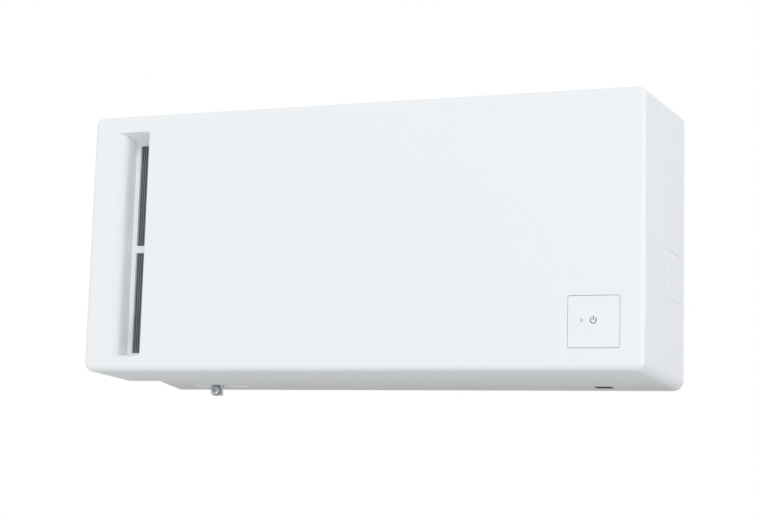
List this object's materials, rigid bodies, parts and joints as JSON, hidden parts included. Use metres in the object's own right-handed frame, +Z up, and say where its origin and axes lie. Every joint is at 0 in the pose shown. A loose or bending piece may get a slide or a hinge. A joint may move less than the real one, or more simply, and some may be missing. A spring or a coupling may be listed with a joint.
{
  "type": "energy recovery ventilator",
  "caption": "Wall-mounted energy recovery ventilator: drafted white casing with a hinged cover, side outlet recess, exchange core, twin fans and duct sockets.",
  "frame": {"origin": "on the back of the wall bracket, at the middle of the casing's width and height", "axes": "+X to the right along the width, +Y out of the back towards the wall, +Z up"},
  "size_m": [0.5206, 0.1681, 0.2559],
  "materials": {
    "white_shell": "fine satin moulding",
    "dark_grille": "matte dark grey",
    "zinc_sheet": "zinc plated sheet",
    "bright_steel": "plated",
    "grey_plastic": "matte",
    "black_plastic": "matte",
    "strap_fabric": "woven tape",
    "exchange_paper": "layered paper",
    "filter_fabric": "open fleece",
    "bead_foam": "moulded bead foam",
    "black_rubber": "matte",
    "motor_steel": "pressed steel",
    "bush_bronze": "sintered",
    "board_green": "lacquered board",
    "light_grey": "frosted",
    "symbol_grey": "printed grey"
  },
  "bodies": {
    "casing": {"rear_casing": "white_shell", "side_entry_cover": "white_shell", "inlet_grille": "white_shell", "wall_bracket": "zinc_sheet", "motor_plate": "zinc_sheet", "locking_screw": "bright_steel", "locking_washer": "bright_steel", "hinge_pins": "bright_steel", "socket_screws": "bright_steel", "motor_screws": "bright_steel", "outdoor_air_socket": "grey_plastic", "exhaust_air_socket": "grey_plastic", "damper_housing": "grey_plastic", "supply_scroll": "grey_plastic", "exhaust_scroll": "grey_plastic", "supply_inlet_ring": "grey_plastic", "exhaust_inlet_ring": "grey_plastic", "control_box": "grey_plastic", "left_partition": "grey_plastic", "right_partition": "grey_plastic", "core_front_frame": "grey_plastic", "core_rear_frame": "grey_plastic", "damper_actuator": "black_plastic", "terminal_block": "black_plastic", "core_handle": "strap_fabric", "exchange_core": "exchange_paper", "upper_foam_duct": "bead_foam", "lower_foam_duct": "bead_foam", "socket_gaskets": "black_rubber", "core_seals": "black_rubber", "cable_grommet": "black_rubber", "motor_can": "motor_steel", "motor_stator": "motor_steel", "shaft_bushes": "bush_bronze", "control_board": "board_green"},
    "cover": {"front_cover": "white_shell", "outlet_frame": "white_shell", "outlet_grille": "dark_grille", "switch_board": "board_green", "tact_switch": "black_plastic", "board_screws": "bright_steel"},
    "button": {"power_button": "white_shell", "status_light": "light_grey", "power_symbol": "symbol_grey"},
    "rotor": {"motor_shaft": "bright_steel", "motor_rotor": "motor_steel", "supply_impeller": "black_plastic", "exhaust_impeller": "black_plastic", "impeller_nuts": "bright_steel"},
    "damper": {"damper_spindle": "bright_steel", "outdoor_damper_disc": "black_plastic", "exhaust_damper_disc": "black_plastic"},
    "outdoor_filter": {"outdoor_filter_frame": "white_shell", "outdoor_filter_mesh": "filter_fabric", "outdoor_filter_pull": "black_plastic"},
    "return_filter": {"return_filter_frame": "white_shell", "return_filter_mesh": "filter_fabric"}
  },
  "joints": [
    {"name": "cover_hinge", "type": "hinge", "parent": "casing", "child": "cover", "pos_m": [0, -0.091, 0.12064], "axis": [-1, 0, 0], "range_deg": [0, 70]},
    {"name": "power_button_press", "type": "slide", "parent": "cover", "child": "button", "axis": [0, 1, 0], "range_m": [0, 0.0012], "stiffness_N_per_m": 1500},
    {"name": "fan_spin", "type": "hinge", "parent": "casing", "child": "rotor", "pos_m": [0.09, -0.085, 0], "axis": [0, 1, 0], "continuous": true},
    {"name": "damper_turn", "type": "hinge", "parent": "casing", "child": "damper", "pos_m": [0.21, -0.084, 0], "axis": [0, 0, 1], "range_deg": [0, 90]},
    {"name": "outdoor_filter_slide", "type": "slide", "parent": "casing", "child": "outdoor_filter", "axis": [0, 0, -1], "range_m": [0, 0.11]},
    {"name": "return_filter_slide", "type": "slide", "parent": "casing", "child": "return_filter", "axis": [0, 0, -1], "range_m": [0, 0.11]}
  ]
}
